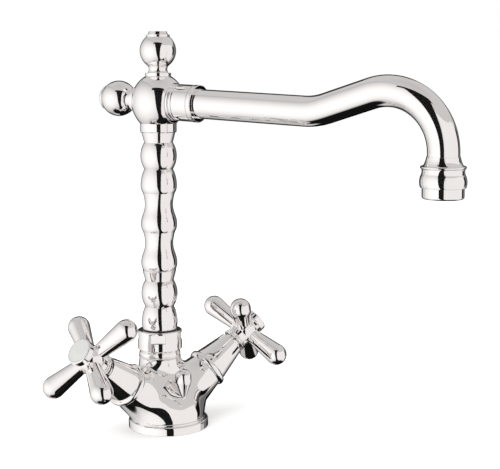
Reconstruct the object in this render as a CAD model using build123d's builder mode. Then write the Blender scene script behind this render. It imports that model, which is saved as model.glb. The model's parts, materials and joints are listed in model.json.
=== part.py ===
"""Two-handle kitchen mixer: a Y-shaped cast body, a turned column and a swan spout.

Millimetres, +Z up.  The origin is the centre of the base on the deck, the user stands on the -Y side,
the hot valve is on -X and the cold valve on +X.  The column stands a little behind the base's centre
and turns in the body's riser; the spout, hub and finials turn with it.  Each valve sits in an arm of
the body, under a conical cover, and its crosshead handle turns a quarter turn about the arm's axis.
"""

import os
from math import atan2, cos, degrees, hypot, radians, sin, tan

from build123d import *

os.makedirs("parts", exist_ok=True)

# ---------------------------------------------------------------- clearances
RUN_GAP = 0.05          # radial gap of a turning fit, and of a plug in its socket
FACE_GAP = 0.05         # gap between faces that slide on each other

# ---------------------------------------------------------------- base ring and gasket
BASE_R = 27.0
BASE_H = 5.6
BASE_BORE_R = 20.0
BASE_EDGE = 1.2         # rounding of the flange's upper edge
GASKET_OUT_R = BASE_R - 1.8
GASKET_IN_R = BASE_BORE_R + 1.6
GASKET_H = 2.0

# ---------------------------------------------------------------- cast body
FOOT_STEP_R = BASE_R - 2.1         # thin step under the foot
FOOT_STEP_H = 0.9
FOOT_SECTIONS = (       # height above the step, shift back, radius
    (0.0, 0.0, 24.1),
    (5.5, 0.3, 23.9),
    (14.0, 2.1, 21.2),
    (22.0, 6.1, 17.2),
)
RISER_Z = 50.0          # where the ring nut sits
RISER_R = 13.8
RISER_SECTIONS = (      # height on the deck, radius; these stand on the column's axis
    (38.0, RISER_R + 1.0),
    (RISER_Z, RISER_R),
)
COLUMN_Y = 9.3          # the column stands this far behind the base's centre
BODY_BLEND_R = 4.5      # fillet where the arms leave the body

# ---------------------------------------------------------------- arms
ARM_RISE = 36.6         # degrees above the deck
ARM_SWEEP = 8.3         # degrees swept towards the user
ARM_ROOT_Y = 5.6        # the two arm axes cross here, on the body's middle plane
ARM_ROOT_Z = 7.75
ARM_R = 13.35
ARM_START = 16.5        # along the arm's axis, from the crossing
ARM_END = 41.0

# ---------------------------------------------------------------- bud at the front
BUD_Y = -17.0
BUD_R = 5.6
BUD_TIP_Z = 18.0
BUD_WIDE_Z = 33.5       # the bud is widest from here ...
BUD_DOME_Z = 38.2       # ... to here
BUD_TOP_Z = 41.8
RISER_LINE_Z = 46.8     # fine groove under the ring nut
RISER_LINE_H = 0.6
RISER_LINE_CUT = 0.4

# ---------------------------------------------------------------- water connections, from below
HOSE_BLOCK_R = BASE_BORE_R - 3.5    # round brass block in the casting's foot, with the three threads
HOSE_BLOCK_ROOF = 2.0   # left above the hose threads
HOSE_R = 4.5            # core of the hose thread
HOSE_X = 8.6
HOSE_Y = 4.0
HOSE_DEPTH = 12.0
STUD_R = 3.4            # core of the fixing stud's thread
STUD_Y = -11.0
STUD_DEPTH = 10.0
INLET_R = 3.0           # drilled ways inside the casting
OUTLET_R = 3.0

# ---------------------------------------------------------------- riser, ring nut and swivel
SOCKET_R = 8.5          # bore of the riser, which holds the column's spigot
SOCKET_Z = 27.0
RISER_THREAD_R = RISER_R - 1.2
RISER_THREAD_H = 8.3
NUT_R = RISER_THREAD_R + 2.5
NUT_LIP_H = 3.5
NUT_CHAMFER = 1.9
NUT_EDGE = 0.9
FLAT_WIDTH = 10.0       # spanner flats milled into the ring nut
FLAT_H = 5.8
FLAT_DEPTH = 1.3
FLAT_DROP = 4.5         # from the nut's top to the middle of the flats
FLAT_TURN = 48.6        # degrees from +X to the first flat, measured backwards
FLAT_COUNT = 4
SLIDE_RING_H = 0.8
BEARING_H = 0.8         # dark ring between nut and column
BEARING_R = 11.7
FLANGE_R = RISER_THREAD_R - 1.3     # flange of the column, held down by the nut
FLANGE_H = 2.0
SPIGOT_NECK_R = SOCKET_R + 1.0
SPIGOT_R = SOCKET_R - RUN_GAP
SPIGOT_BOTTOM_Z = SOCKET_Z + 4.5
WATERWAY_R = 5.8        # bore of the column
SEAL_GROOVE_R = SOCKET_R - 1.4
SEAL_H = 2.4
SEAL_STATIONS = (SPIGOT_BOTTOM_Z + 4.5, SPIGOT_BOTTOM_Z + 14.5)

# ---------------------------------------------------------------- turned column, from its foot up
CREASE_R = 9.7          # radius in the creases between its members
BELLY_R = 12.3          # largest radius of every member
WAVE_NECK_R = 9.55      # smallest radius of the two long waves
WAVE_CREASE_R = 10.9
COLUMN_FOOT_R = BEARING_R
COLUMN_FOOT_BELLY_R = 12.2
FOOT_BELLY = 4.5        # height of the foot's widest place above its underside
FOOT_RISE = 15.3
BEAD_RISE = 18.0
TAPER_RISE = 6.8
TAPER_TOP_R = 11.5
WAVES = 2
WAVE_RISE = 26.5
WAVE_BELLY = 5.2        # heights of a wave's belly and neck above its start
WAVE_NECK = 18.4
BAND_RISE = 16.2
BAND_BELLY = 4.9
CROWN_RISE = 5.9
CROWN_EDGE = 0.4
TENON_R = 8.0           # plug into the hub
TENON_H = 6.0

# ---------------------------------------------------------------- ball hub
HUB_R = 18.1
HUB_RISE = 15.1         # from the column's top to the hub's middle
HUB_FOOT_R = 12.2
HUB_TOP_SEAT = 16.5     # the top finial's seat, from the hub's middle
HUB_TOP_SEAT_R = 9.0
HUB_REAR_SEAT = 16.1    # the rear finial's seat
HUB_SOCKET_R = 4.1      # threaded sockets of the finials
HUB_SOCKET_DEPTH = 6.5
SPOUT_SEAT = 13.3       # the spout collar's seat
SPOUT_PLUG_R = 8.4      # the collar's plug in the hub
SPOUT_PLUG_H = 5.0

# ---------------------------------------------------------------- finials, along their own axis from the seat
FINIAL_COLLAR_R = 8.75
FINIAL_COLLAR_H = 2.4
FINIAL_FLARE_R = 7.1
FINIAL_NECK_R = 6.3
FINIAL_NECK = 5.6       # the neck's station
FINIAL_BALL_R = 12.2
FINIAL_BALL = 17.2      # the ball's centre
FINIAL_BALL_FOOT_R = 7.3
FINIAL_CAP_R = 8.0
FINIAL_CAP = FINIAL_BALL + 9.6      # the underside of the flat cap
FINIAL_CAP_H = 1.1
FINIAL_BUTTON_R = 6.9
FINIAL_BUTTON_TOP_R = 5.9
FINIAL_BUTTON_H = 2.2
FINIAL_STUD_H = 6.0

# ---------------------------------------------------------------- spout
SPOUT_TURN = 17.6       # degrees the spout stands off the middle, towards the cold side
SPOUT_DIP = 2.4         # degrees the straight run falls
SPOUT_REACH = 205.4     # column axis to outlet axis
SWEEP_R = 45.0          # the upward curve
SWEEP_RISE = 17.5       # degrees of climb after it
RAMP_LENGTH = 32.0      # straight climb up to the arch
ARCH_R = 36.0
TUBE_DROP = 2.2         # straight fall from the arch to the outlet
TUBE_R = 9.75
TUBE_BORE_R = TUBE_R - 1.15
TUBE_START = 24.0       # along the spout's axis, inside the collar
TUBE_TAIL = 6.0         # straight end of the tube, inside the nozzle
COLLAR_BORE_R = 6.5
COLLAR_R = 12.25
COLLAR_BEADS = 2        # small beads next to the hub
COLLAR_BEAD_H = 2.7
COLLAR_BEAD_CUT = 0.9   # how deep the creases between them are
COLLAR_BARREL_END = 29.9
COLLAR_GROOVE_R = 11.4
COLLAR_RIM = 30.7
COLLAR_END = 33.6
COLLAR_RIM_R = 12.4
COLLAR_EDGE = 0.4
COLLAR_SEAL_H = 1.6

# ---------------------------------------------------------------- outlet, heights below its upper rim
FLARE_TOP_R = TUBE_R + 0.4
FLARE_CURVE_R = 12.0
FLARE_FOOT_R = 12.1
FLARE_FOOT = 5.4
TOP_BEAD_R = 13.65
TOP_BEAD_FOOT = 7.0
COVE_EDGE_R = 13.0
COVE_R = 12.7
COVE_MID = 9.2
BIG_BEAD_TOP = 10.4
BIG_BEAD_R = 14.05
BIG_BEAD_MID = 14.0
BIG_BEAD_FOOT_R = 13.5
NOZZLE_END = 18.2
AERATOR_SOCKET_R = 11.2
AERATOR_SOCKET_H = 7.5
AERATOR_R = 12.55
AERATOR_H = 6.6
AERATOR_EDGE = 1.5
AERATOR_BORE_R = AERATOR_SOCKET_R - 1.35
AERATOR_MOUTH_R = AERATOR_BORE_R - 0.85
AERATOR_LEDGE_H = 2.2
AERATOR_SEAL_H = 1.2
AERATOR_THREAD_H = AERATOR_SOCKET_H - AERATOR_SEAL_H - 0.1
JET_H = 8.5             # jet former: a cup with holes in its floor
JET_FLOOR_H = 2.5
JET_WALL = 1.2
JET_HOLE_R = 0.8
JET_RING_RADII = (3.0, 6.2)
JET_RING_HOLES = (6, 12)

# ---------------------------------------------------------------- valves, stations along the arm's axis
SEAT_R = 9.0            # bore in the arm
SEAT = 20.0
SEAT_SEAL_H = 2.0
SEAT_SEAL_IN_R = 5.0
DISC_R = SEAT_R - 1.1
MOVING_DISC_R = DISC_R - 0.3
DISC_H = 2.4
DISC_PORT_R = 1.9
DISC_PORT_OFFSET = 4.2
CHAMBER_R = SEAT_R - 1.0            # inside of the cartridge, round the discs
CHAMBER_END = SEAT + 11.0
WINDOW = SEAT + 8.5     # the side windows, where the water leaves for the column
WINDOW_W = 6.0
WINDOW_H = 3.0
HEX_ACROSS = 19.0
HEX_H = 4.0
CARTRIDGE_NECK_R = 7.4
CARTRIDGE_TOP_R = 6.4
CARTRIDGE_STEP = ARM_END + 17.0
CARTRIDGE_END = ARM_END + 30.5
SPINDLE_R = 4.0
SPINDLE_FOOT_R = CHAMBER_R - 0.6
SPINDLE_FOOT_H = 2.0
SPINDLE_END = CARTRIDGE_END + 11.5
SPINDLE_SIDES = 12
SPINDLE_GRIP = CARTRIDGE_END + 0.9  # the many-sided end starts here

# ---------------------------------------------------------------- bell covers
BELL_RIM_R = ARM_R + 1.05
BELL_RIM_FOOT_R = ARM_R + 0.45
BELL_RIM_H = 4.4
BELL_BASE_R = ARM_R - 0.15
BELL_TOP_R = 8.8
BELL_END = ARM_END + 27.0
BELL_HOLE_R = CARTRIDGE_TOP_R + 0.5
BELL_CAP_H = 1.5
BELL_WALL = 1.5

# ---------------------------------------------------------------- crossheads
CROSS = BELL_END + 14.2             # the levers' plane
LEVER_REACH = 30.3      # from the axis to the centre of a lever's round end
LEVER_TIP_R = 7.35
LEVER_ROOT_R = 4.9
LEVER_ROOT = 6.0
LEVER_COUNT = 4
LEVER_TURN = {"hot": 50.9, "cold": 35.7}    # degrees about the arm, from level
SKIRT_START = BELL_END + 2.4
SKIRT_BEADS = ((8.8, 1.6), (8.5, 1.5))      # radius and height of the two small beads
SKIRT_R = 8.0
SKIRT_BORE_R = CARTRIDGE_TOP_R + 0.6
SKIRT_DEPTH = CARTRIDGE_END + 1.3 - SKIRT_START
BARREL_R = 8.5
BARREL_END = CROSS - 5.0
KNOT_R = 9.6            # where the levers meet
KNOT_NECK_R = 7.2
KNOT_NECK = CROSS + 5.8
KNOT_END = KNOT_NECK + 1.4
BUTTON_R = 8.9
BUTTON_H = 4.7
BUTTON_EDGE = 0.8
BUTTON_PLUG_R = 6.0
BUTTON_PLUG_GAP = 0.15  # under the button's plug, above the screw
INDEX_R = 7.6
INDEX_H = 1.4
INDEX_PROUD = 0.35
SCREW_R = 2.4
SCREW_LENGTH = 11.4
SCREW_TIP_GAP = 1.05    # left under the screw's tip
SCREW_HEAD_R = 4.4
SCREW_HEAD_H = 2.3
SCREW_HEX = 3.0
WEB_H = 1.4             # web of the crosshead that the screw clamps
SOCKET_PLAY = 0.05      # crosshead's many-sided socket round the spindle

SIDES = {"hot": -1, "cold": 1}


# ---------------------------------------------------------------- planes
def seat_plane(origin, axis, radial):
    """A plane whose local Y runs along a piece's axis and whose local X is a radius."""
    return Plane(origin=origin, x_dir=radial, z_dir=Vector(radial).cross(Vector(axis)))


def turned(plane, *outline):
    """A flat face with a closed outline of (radius, station) points, ready to be turned."""
    with BuildSketch(plane) as face:
        with BuildLine():
            Polyline(*outline, close=True)
        make_face()
    return face.sketch


def turning_axis(plane):
    """The axis that a face on this plane is turned about."""
    return Axis(plane.origin, plane.y_dir)


def arm_plane(side):
    """The plane that holds one arm's axis, with its origin where the two arms cross."""
    rise, sweep = radians(ARM_RISE), radians(ARM_SWEEP)
    axis = Vector(SIDES[side] * cos(rise) * cos(sweep), -cos(rise) * sin(sweep), sin(rise))
    level = axis.cross(Vector(0, 0, 1)).normalized()
    return seat_plane((0, ARM_ROOT_Y, ARM_ROOT_Z), axis, level)


def on_axis(plane, station):
    """The point on a plane's own axis at a station."""
    return plane.origin + plane.y_dir * station


def across(plane, station, turn=0.0):
    """A plane square to a piece's axis; turn rotates its X about that axis."""
    radial = plane.x_dir.rotate(Axis((0, 0, 0), plane.y_dir), turn)
    return Plane(origin=on_axis(plane, station), x_dir=radial, z_dir=plane.y_dir)


riser = seat_plane((0, COLUMN_Y, 0), (0, 0, 1), (1, 0, 0))

# ---------------------------------------------------------------- heights worked out from the sizes
hose_block_h = HOSE_DEPTH + HOSE_BLOCK_ROOF
riser_top_z = RISER_Z + RISER_THREAD_H
flange_z = riser_top_z + SLIDE_RING_H + FACE_GAP
nut_lip_z = flange_z + FLANGE_H + FACE_GAP
nut_top_z = nut_lip_z + NUT_LIP_H
column_foot_z = nut_top_z + BEARING_H
column_rises = (FOOT_RISE, BEAD_RISE, TAPER_RISE, WAVE_RISE, WAVE_RISE, BAND_RISE, BEAD_RISE,
                TAPER_RISE, CROWN_RISE)
column_top_z = column_foot_z + sum(column_rises)
hub_z = column_top_z + HUB_RISE
spout_heading = Vector(sin(radians(SPOUT_TURN)), -cos(radians(SPOUT_TURN)), 0)
spout_fall = Vector(0, 0, -tan(radians(SPOUT_DIP)))
spout_axis = (spout_heading + spout_fall).normalized()
spout_side = spout_heading.cross(Vector(0, 0, 1))
spout_root = Vector(0, COLUMN_Y, hub_z)
spout = seat_plane(spout_root, spout_axis, spout_side)
outlet_foot = Vector(0, COLUMN_Y, 0) + spout_heading * SPOUT_REACH
outlet = seat_plane(outlet_foot, (0, 0, 1), (1, 0, 0))


def save(part, name):
    """Label a finished piece and write its file."""
    part.label = name
    export_step(part, f"parts/{name}.step")


# ================================================================ base
with BuildPart() as base_ring:
    with BuildSketch():
        Circle(BASE_R)
        Circle(BASE_BORE_R, mode=Mode.SUBTRACT)
    extrude(amount=BASE_H)
    fillet(base_ring.edges().filter_by(GeomType.CIRCLE).group_by(Axis.Z)[-1].sort_by(SortBy.RADIUS)[-1],
           BASE_EDGE)
    with BuildSketch():
        Circle(GASKET_OUT_R)
        Circle(GASKET_IN_R, mode=Mode.SUBTRACT)
    extrude(amount=GASKET_H, mode=Mode.SUBTRACT)
save(base_ring.part, "base_ring")

with BuildPart() as base_gasket:
    with BuildSketch():
        Circle(GASKET_OUT_R - RUN_GAP)
        Circle(GASKET_IN_R + RUN_GAP, mode=Mode.SUBTRACT)
    extrude(amount=GASKET_H)
save(base_gasket.part, "base_gasket")

# ================================================================ body
with BuildPart() as mixer_body:
    # foot and riser as one smooth skin through level circles, with its seam at the back
    for height, back, radius in FOOT_SECTIONS:
        middle = (0, back, BASE_H + FOOT_STEP_H + height)
        with BuildSketch(Plane(origin=middle, x_dir=(0, 1, 0), z_dir=(0, 0, 1))):
            Circle(radius)
    for height, radius in RISER_SECTIONS:
        with BuildSketch(Plane(origin=(0, COLUMN_Y, height), x_dir=(0, 1, 0), z_dir=(0, 0, 1))):
            Circle(radius)
    loft()
    # the two arms, blended into the skin where they leave it
    for side in SIDES:
        with BuildSketch(across(arm_plane(side), ARM_START)):
            Circle(ARM_R)
        extrude(amount=ARM_END - ARM_START)
    roots = mixer_body.edges().filter_by(GeomType.BSPLINE).sort_by(SortBy.LENGTH)
    roots = roots.filter_by_position(Axis.Z, BASE_H + FOOT_STEP_H + 1, RISER_Z - 1)
    fillet([root for root in roots if root.length > ARM_R and abs(root.center().X) > 2], BODY_BLEND_R)
    # the bud between the arms
    bud = seat_plane((0, BUD_Y, 0), (0, 0, 1), (1, 0, 0))
    with BuildSketch(bud):
        with BuildLine():
            Line((0, BUD_TIP_Z), (BUD_R, BUD_WIDE_Z))
            Line((BUD_R, BUD_WIDE_Z), (BUD_R, BUD_DOME_Z))
            TangentArc((0, BUD_TOP_Z), (BUD_R, BUD_DOME_Z), tangent=(1, 0))
            Line((0, BUD_TOP_Z), (0, BUD_TIP_Z))
        make_face()
    revolve(axis=turning_axis(bud))
    # step under the foot, plug in the base ring with the hose block's socket, thread for the ring nut
    with BuildSketch(Plane.XY.offset(BASE_H)):
        Circle(FOOT_STEP_R)
    extrude(amount=FOOT_STEP_H)
    with BuildSketch():
        Circle(BASE_BORE_R - RUN_GAP)
    extrude(amount=BASE_H)
    with BuildSketch():
        Circle(HOSE_BLOCK_R + RUN_GAP)
    extrude(amount=hose_block_h, mode=Mode.SUBTRACT)
    with BuildSketch(Plane.XY.offset(RISER_Z)):
        with Locations((0, COLUMN_Y)):
            Circle(RISER_THREAD_R)
    extrude(amount=RISER_THREAD_H)
    # socket of the column
    with BuildSketch(Plane.XY.offset(SOCKET_Z)):
        with Locations((0, COLUMN_Y)):
            Circle(SOCKET_R)
    extrude(amount=riser_top_z - SOCKET_Z, mode=Mode.SUBTRACT)
    # valve seats, the ways in from the hose block and the ways out to the column
    for side, sign in SIDES.items():
        arm = arm_plane(side)
        with BuildSketch(across(arm, SEAT)):
            Circle(SEAT_R)
        extrude(amount=ARM_END - SEAT, mode=Mode.SUBTRACT)
        hose_end = Vector(sign * HOSE_X, HOSE_Y, HOSE_DEPTH)
        way_in = on_axis(arm, SEAT) - hose_end
        with BuildSketch(Plane(origin=hose_end, z_dir=way_in)):
            Circle(INLET_R)
        extrude(amount=way_in.length, mode=Mode.SUBTRACT)
        way_out = Vector(0, COLUMN_Y, SOCKET_Z + OUTLET_R) - on_axis(arm, SEAT + 8)
        with BuildSketch(Plane(origin=on_axis(arm, SEAT + 8), z_dir=way_out)):
            Circle(OUTLET_R)
        extrude(amount=way_out.length, mode=Mode.SUBTRACT)
    # fine groove round the riser
    with BuildSketch(Plane.XY.offset(RISER_LINE_Z)):
        with Locations((0, COLUMN_Y)):
            Circle(RISER_R + 2)
            Circle(RISER_R + 0.1 - RISER_LINE_CUT, mode=Mode.SUBTRACT)
    extrude(amount=RISER_LINE_H, mode=Mode.SUBTRACT)
save(mixer_body.part, "mixer_body")

with BuildPart() as hose_block:
    with BuildSketch():
        Circle(HOSE_BLOCK_R)
    extrude(amount=hose_block_h)
    for side, sign in SIDES.items():
        with BuildSketch():
            with Locations((sign * HOSE_X, HOSE_Y)):
                Circle(HOSE_R)
        extrude(amount=HOSE_DEPTH, mode=Mode.SUBTRACT)
        hose_end = Vector(sign * HOSE_X, HOSE_Y, HOSE_DEPTH)
        way_in = on_axis(arm_plane(side), SEAT) - hose_end
        with BuildSketch(Plane(origin=hose_end, z_dir=way_in)):
            Circle(INLET_R)
        extrude(amount=way_in.length, mode=Mode.SUBTRACT)
    with BuildSketch():
        with Locations((0, STUD_Y)):
            Circle(STUD_R)
    extrude(amount=STUD_DEPTH, mode=Mode.SUBTRACT)
save(hose_block.part, "hose_block")

# ================================================================ ring nut and the column's bearings
with BuildPart() as swivel_nut:
    nut = turned(
        riser,
        (RISER_THREAD_R + RUN_GAP, RISER_Z),
        (NUT_R - NUT_CHAMFER, RISER_Z),
        (NUT_R, RISER_Z + NUT_CHAMFER),
        (NUT_R, nut_top_z),
        (SPIGOT_NECK_R + RUN_GAP, nut_top_z),
        (SPIGOT_NECK_R + RUN_GAP, nut_lip_z),
        (RISER_THREAD_R + RUN_GAP, nut_lip_z),
    )
    revolve(nut, axis=turning_axis(riser))
    fillet(swivel_nut.edges().filter_by(GeomType.CIRCLE).group_by(Axis.Z)[-1].sort_by(SortBy.RADIUS)[-1],
           NUT_EDGE)
    for k in range(FLAT_COUNT):
        turn = radians(FLAT_TURN + k * 360 / FLAT_COUNT)
        outward = Vector(cos(turn), sin(turn), 0)
        floor = Vector(0, COLUMN_Y, nut_top_z - FLAT_DROP) + outward * (NUT_R - FLAT_DEPTH)
        with BuildSketch(Plane(origin=floor, x_dir=(0, 0, 1), z_dir=outward)):
            Rectangle(FLAT_H, FLAT_WIDTH)
        extrude(amount=2 * FLAT_DEPTH, mode=Mode.SUBTRACT)
save(swivel_nut.part, "swivel_nut")

with BuildPart() as slide_ring:
    with BuildSketch(Plane.XY.offset(riser_top_z)):
        with Locations((0, COLUMN_Y)):
            Circle(FLANGE_R)
            Circle(SPIGOT_R + 2 * RUN_GAP, mode=Mode.SUBTRACT)
    extrude(amount=SLIDE_RING_H)
save(slide_ring.part, "slide_ring")

with BuildPart() as swivel_washer:
    with BuildSketch(Plane.XY.offset(nut_top_z)):
        with Locations((0, COLUMN_Y)):
            Circle(BEARING_R)
            Circle(SPIGOT_NECK_R + 2 * RUN_GAP, mode=Mode.SUBTRACT)
    extrude(amount=BEARING_H - FACE_GAP)
save(swivel_washer.part, "swivel_washer")

# ================================================================ turned column
with BuildPart() as column:
    with BuildSketch(riser):
        with BuildLine():
            # bore, plug with its two seal grooves, flange and neck
            Polyline((WATERWAY_R, column_top_z + TENON_H), (WATERWAY_R, SPIGOT_BOTTOM_Z),
                     (SPIGOT_R, SPIGOT_BOTTOM_Z), (SPIGOT_R, flange_z), (FLANGE_R, flange_z),
                     (FLANGE_R, flange_z + FLANGE_H), (SPIGOT_NECK_R, flange_z + FLANGE_H),
                     (SPIGOT_NECK_R, column_foot_z), (COLUMN_FOOT_R, column_foot_z))
            # foot: a cushion
            z = column_foot_z
            belly = (COLUMN_FOOT_BELLY_R, z + FOOT_BELLY)
            TangentArc(belly, (COLUMN_FOOT_R, z), tangent=(0, -1))
            TangentArc(belly, (CREASE_R, z + FOOT_RISE), tangent=(0, 1))
            # long bead and a flaring cone
            z += FOOT_RISE
            ThreePointArc((CREASE_R, z), (BELLY_R, z + BEAD_RISE / 2), (CREASE_R, z + BEAD_RISE))
            z += BEAD_RISE
            Line((CREASE_R, z), (TAPER_TOP_R, z + TAPER_RISE))
            z += TAPER_RISE
            Line((TAPER_TOP_R, z), (WAVE_CREASE_R, z))
            # two waves, each a belly that sinks to a neck and flares again
            for k in range(WAVES):
                belly = (BELLY_R, z + WAVE_BELLY)
                neck = (WAVE_NECK_R, z + WAVE_NECK)
                TangentArc(belly, (WAVE_CREASE_R, z), tangent=(0, -1))
                Spline(belly, neck, tangents=((0, 1), (0, 1)))
                TangentArc(neck, (WAVE_CREASE_R, z + WAVE_RISE), tangent=(0, 1))
                z += WAVE_RISE
            # band: a second cushion
            belly = (BELLY_R, z + BAND_BELLY)
            TangentArc(belly, (WAVE_CREASE_R, z), tangent=(0, -1))
            TangentArc(belly, (CREASE_R, z + BAND_RISE), tangent=(0, 1))
            # long bead, flaring cone and the plain crown under the hub
            z += BAND_RISE
            ThreePointArc((CREASE_R, z), (BELLY_R, z + BEAD_RISE / 2), (CREASE_R, z + BEAD_RISE))
            z += BEAD_RISE
            Line((CREASE_R, z), (TAPER_TOP_R, z + TAPER_RISE))
            z += TAPER_RISE
            Polyline((TAPER_TOP_R, z), (BELLY_R - CROWN_EDGE, z), (BELLY_R, z + CROWN_EDGE),
                     (BELLY_R, column_top_z), (TENON_R, column_top_z),
                     (TENON_R, column_top_z + TENON_H), (WATERWAY_R, column_top_z + TENON_H))
        make_face()
    revolve(axis=turning_axis(riser))
    for station in SEAL_STATIONS:
        groove = turned(
            riser,
            (SEAL_GROOVE_R, station - SEAL_H / 2),
            (SPIGOT_R + 1, station - SEAL_H / 2),
            (SPIGOT_R + 1, station + SEAL_H / 2),
            (SEAL_GROOVE_R, station + SEAL_H / 2),
        )
        revolve(groove, axis=turning_axis(riser), mode=Mode.SUBTRACT)
save(column.part, "column")

with BuildPart() as column_seals:
    ring_r = (SOCKET_R - SEAL_GROOVE_R) / 2 - RUN_GAP / 2
    for station in SEAL_STATIONS:
        with BuildSketch(riser):
            with Locations((SEAL_GROOVE_R + RUN_GAP / 2 + ring_r, station)):
                Circle(ring_r)
        revolve(axis=turning_axis(riser))
save(column_seals.part, "column_seals")

# ================================================================ ball hub
with BuildPart() as spout_hub:
    with BuildSketch(riser):
        with BuildLine():
            TangentArc((HUB_R, hub_z), (HUB_FOOT_R, column_top_z), tangent=(0, -1))
            TangentArc((HUB_R, hub_z), (HUB_TOP_SEAT_R, hub_z + HUB_TOP_SEAT), tangent=(0, 1))
            Polyline((HUB_TOP_SEAT_R, hub_z + HUB_TOP_SEAT), (0, hub_z + HUB_TOP_SEAT),
                     (0, column_top_z), (HUB_FOOT_R, column_top_z))
        make_face()
    revolve(axis=turning_axis(riser))
    # flat seats for the spout collar and the rear finial
    with BuildSketch(across(spout, SPOUT_SEAT)):
        Circle(HUB_R)
    extrude(amount=HUB_R, mode=Mode.SUBTRACT)
    with BuildSketch(across(spout, -HUB_REAR_SEAT)):
        Circle(HUB_R / 2 + 1)
    extrude(amount=-HUB_R, mode=Mode.SUBTRACT)
    # socket of the column, waterways and the collar's socket
    with BuildSketch(Plane.XY.offset(column_top_z)):
        with Locations((0, COLUMN_Y)):
            Circle(TENON_R + RUN_GAP)
    extrude(amount=TENON_H + RUN_GAP, mode=Mode.SUBTRACT)
    with BuildSketch(Plane.XY.offset(column_top_z)):
        with Locations((0, COLUMN_Y)):
            Circle(WATERWAY_R)
    extrude(amount=HUB_RISE, mode=Mode.SUBTRACT)
    with BuildSketch(across(spout, 0)):
        Circle(COLLAR_BORE_R)
    extrude(amount=SPOUT_SEAT, mode=Mode.SUBTRACT)
    with BuildSketch(across(spout, SPOUT_SEAT)):
        Circle(SPOUT_PLUG_R + RUN_GAP)
    extrude(amount=-(SPOUT_PLUG_H + RUN_GAP), mode=Mode.SUBTRACT)
    # sockets of the finials
    with BuildSketch(across(spout, -HUB_REAR_SEAT)):
        Circle(HUB_SOCKET_R)
    extrude(amount=HUB_SOCKET_DEPTH, mode=Mode.SUBTRACT)
    with BuildSketch(Plane.XY.offset(hub_z + HUB_TOP_SEAT)):
        with Locations((0, COLUMN_Y)):
            Circle(HUB_SOCKET_R)
    extrude(amount=-HUB_SOCKET_DEPTH, mode=Mode.SUBTRACT)
save(spout_hub.part, "spout_hub")

# ================================================================ finials
rear_seat = on_axis(spout, -HUB_REAR_SEAT)
finial_planes = {
    "top_finial": seat_plane((0, COLUMN_Y, hub_z + HUB_TOP_SEAT), (0, 0, 1), (1, 0, 0)),
    "rear_finial": seat_plane(rear_seat, -spout_axis, spout_side),
}
stud_r = HUB_SOCKET_R - RUN_GAP
ball_start = FINIAL_BALL - (FINIAL_BALL_R ** 2 - FINIAL_BALL_FOOT_R ** 2) ** 0.5
ball_end_r = (FINIAL_BALL_R ** 2 - (FINIAL_CAP - FINIAL_BALL) ** 2) ** 0.5
cap_top = FINIAL_CAP + FINIAL_CAP_H
for name, plane in finial_planes.items():
    with BuildPart() as finial:
        with BuildSketch(plane):
            with BuildLine():
                Polyline((0, 0), (0, -FINIAL_STUD_H), (stud_r, -FINIAL_STUD_H), (stud_r, 0),
                         (FINIAL_COLLAR_R, 0), (FINIAL_COLLAR_R, FINIAL_COLLAR_H),
                         (FINIAL_FLARE_R, FINIAL_COLLAR_H))
                ThreePointArc((FINIAL_FLARE_R, FINIAL_COLLAR_H), (FINIAL_NECK_R, FINIAL_NECK),
                              (FINIAL_BALL_FOOT_R, ball_start))
                ThreePointArc((FINIAL_BALL_FOOT_R, ball_start), (FINIAL_BALL_R, FINIAL_BALL),
                              (ball_end_r, FINIAL_CAP))
                Polyline((ball_end_r, FINIAL_CAP), (FINIAL_CAP_R, FINIAL_CAP), (FINIAL_CAP_R, cap_top),
                         (FINIAL_BUTTON_R, cap_top), (FINIAL_BUTTON_TOP_R, cap_top + FINIAL_BUTTON_H),
                         (0, cap_top + FINIAL_BUTTON_H), (0, 0))
            make_face()
        revolve(axis=turning_axis(plane))
    save(finial.part, name)

# ================================================================ spout
socket_floor = TUBE_START - COLLAR_SEAL_H
with BuildPart() as spout_collar:
    with BuildSketch(spout):
        with BuildLine():
            Polyline((COLLAR_R - COLLAR_BEAD_CUT, SPOUT_SEAT), (SPOUT_PLUG_R, SPOUT_SEAT),
                     (SPOUT_PLUG_R, SPOUT_SEAT - SPOUT_PLUG_H), (COLLAR_BORE_R, SPOUT_SEAT - SPOUT_PLUG_H),
                     (COLLAR_BORE_R, socket_floor), (TUBE_R + RUN_GAP, socket_floor),
                     (TUBE_R + RUN_GAP, COLLAR_END), (COLLAR_RIM_R - COLLAR_EDGE, COLLAR_END),
                     (COLLAR_RIM_R, COLLAR_END - COLLAR_EDGE), (COLLAR_RIM_R, COLLAR_RIM),
                     (COLLAR_GROOVE_R, COLLAR_RIM), (COLLAR_GROOVE_R, COLLAR_BARREL_END),
                     (COLLAR_R, COLLAR_BARREL_END), (COLLAR_R, SPOUT_SEAT + COLLAR_BEADS * COLLAR_BEAD_H),
                     (COLLAR_R - COLLAR_BEAD_CUT, SPOUT_SEAT + COLLAR_BEADS * COLLAR_BEAD_H))
            for k in range(COLLAR_BEADS):
                start = SPOUT_SEAT + k * COLLAR_BEAD_H
                ThreePointArc((COLLAR_R - COLLAR_BEAD_CUT, start),
                              (COLLAR_R, start + COLLAR_BEAD_H / 2),
                              (COLLAR_R - COLLAR_BEAD_CUT, start + COLLAR_BEAD_H))
        make_face()
    revolve(axis=turning_axis(spout))
save(spout_collar.part, "spout_collar")

with BuildPart() as collar_seal:
    with BuildSketch(across(spout, socket_floor)):
        Circle(TUBE_R)
        Circle(COLLAR_BORE_R + 2, mode=Mode.SUBTRACT)
    extrude(amount=COLLAR_SEAL_H - FACE_GAP)
save(collar_seal.part, "collar_seal")

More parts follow.
